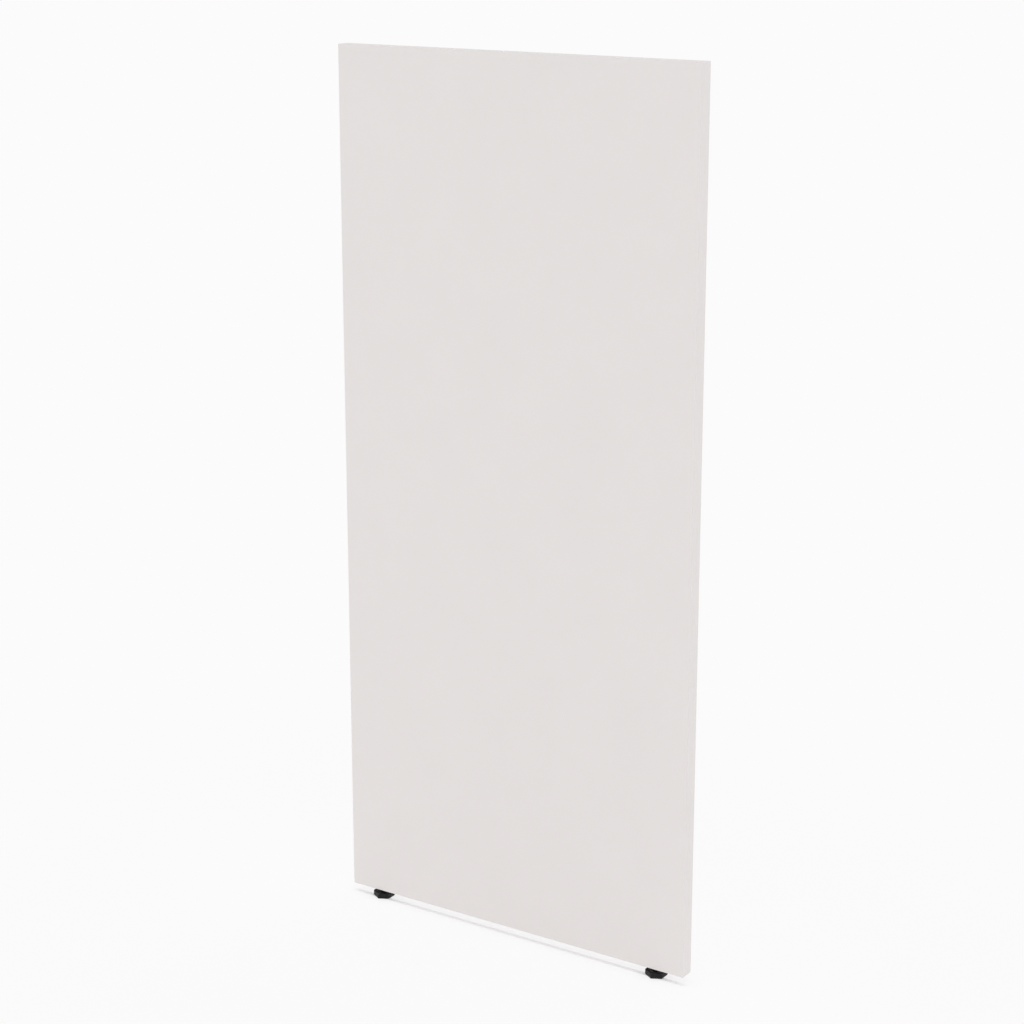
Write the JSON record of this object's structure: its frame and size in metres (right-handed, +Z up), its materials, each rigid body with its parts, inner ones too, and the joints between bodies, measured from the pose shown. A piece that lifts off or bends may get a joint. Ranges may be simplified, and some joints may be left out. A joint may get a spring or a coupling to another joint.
{
  "type": "office divider panel",
  "caption": "Free-standing office divider: a tall flat fabric-covered screen on a wooden frame, standing on screw-adjustable hexagonal levelling feet.",
  "frame": {"origin": "on the floor under the middle of the panel, midway between the feet", "axes": "+Z up, X along the panel's width with the right end at +X, front face towards -Y"},
  "size_m": [0.8, 0.045, 1.7675],
  "materials": {
    "frame_wood": "matte",
    "dowel_beech": "matte",
    "infill_felt": "matte",
    "facing_board": "matte",
    "zinc_steel": "satin",
    "staple_steel": "satin",
    "stem_steel": "satin",
    "cover_fabric": "matte",
    "foot_plastic": "matte",
    "sole_plastic": "matte"
  },
  "bodies": {
    "panel": {"left_stile": "frame_wood", "right_stile": "frame_wood", "top_rail": "frame_wood", "upper_cross_rail": "frame_wood", "lower_cross_rail": "frame_wood", "bottom_rail": "frame_wood", "frame_dowels": "dowel_beech", "upper_infill": "infill_felt", "middle_infill": "infill_felt", "lower_infill": "infill_felt", "front_board": "facing_board", "back_board": "facing_board", "front_board_screws": "zinc_steel", "back_board_screws": "zinc_steel", "front_cover": "cover_fabric", "back_cover": "cover_fabric", "cover_staples": "staple_steel", "left_foot_socket": "zinc_steel", "right_foot_socket": "zinc_steel", "foot_socket_screws": "zinc_steel"},
    "left_stem": {"left_stem": "stem_steel"},
    "left_foot": {"left_foot_base": "foot_plastic", "left_foot_sole": "sole_plastic"},
    "right_stem": {"right_stem": "stem_steel"},
    "right_foot": {"right_foot_base": "foot_plastic", "right_foot_sole": "sole_plastic"}
  },
  "joints": [
    {"name": "left_stem_travel", "type": "slide", "parent": "panel", "child": "left_stem", "axis": [0, 0, 1], "range_m": [-0.015, 0.005]},
    {"name": "left_foot_turn", "type": "hinge", "parent": "left_stem", "child": "left_foot", "pos_m": [-0.332, 0, 0], "axis": [0, 0, 1], "range_deg": [-4320, 1440]},
    {"name": "right_stem_travel", "type": "slide", "parent": "panel", "child": "right_stem", "axis": [0, 0, 1], "range_m": [-0.015, 0.005]},
    {"name": "right_foot_turn", "type": "hinge", "parent": "right_stem", "child": "right_foot", "pos_m": [0.332, 0, 0], "axis": [0, 0, 1], "range_deg": [-4320, 1440]}
  ],
  "couplings": [
    {"joint": "left_foot_turn", "follows": "left_stem_travel", "rad_per_m": 5026.5},
    {"joint": "right_foot_turn", "follows": "right_stem_travel", "rad_per_m": 5026.5}
  ]
}
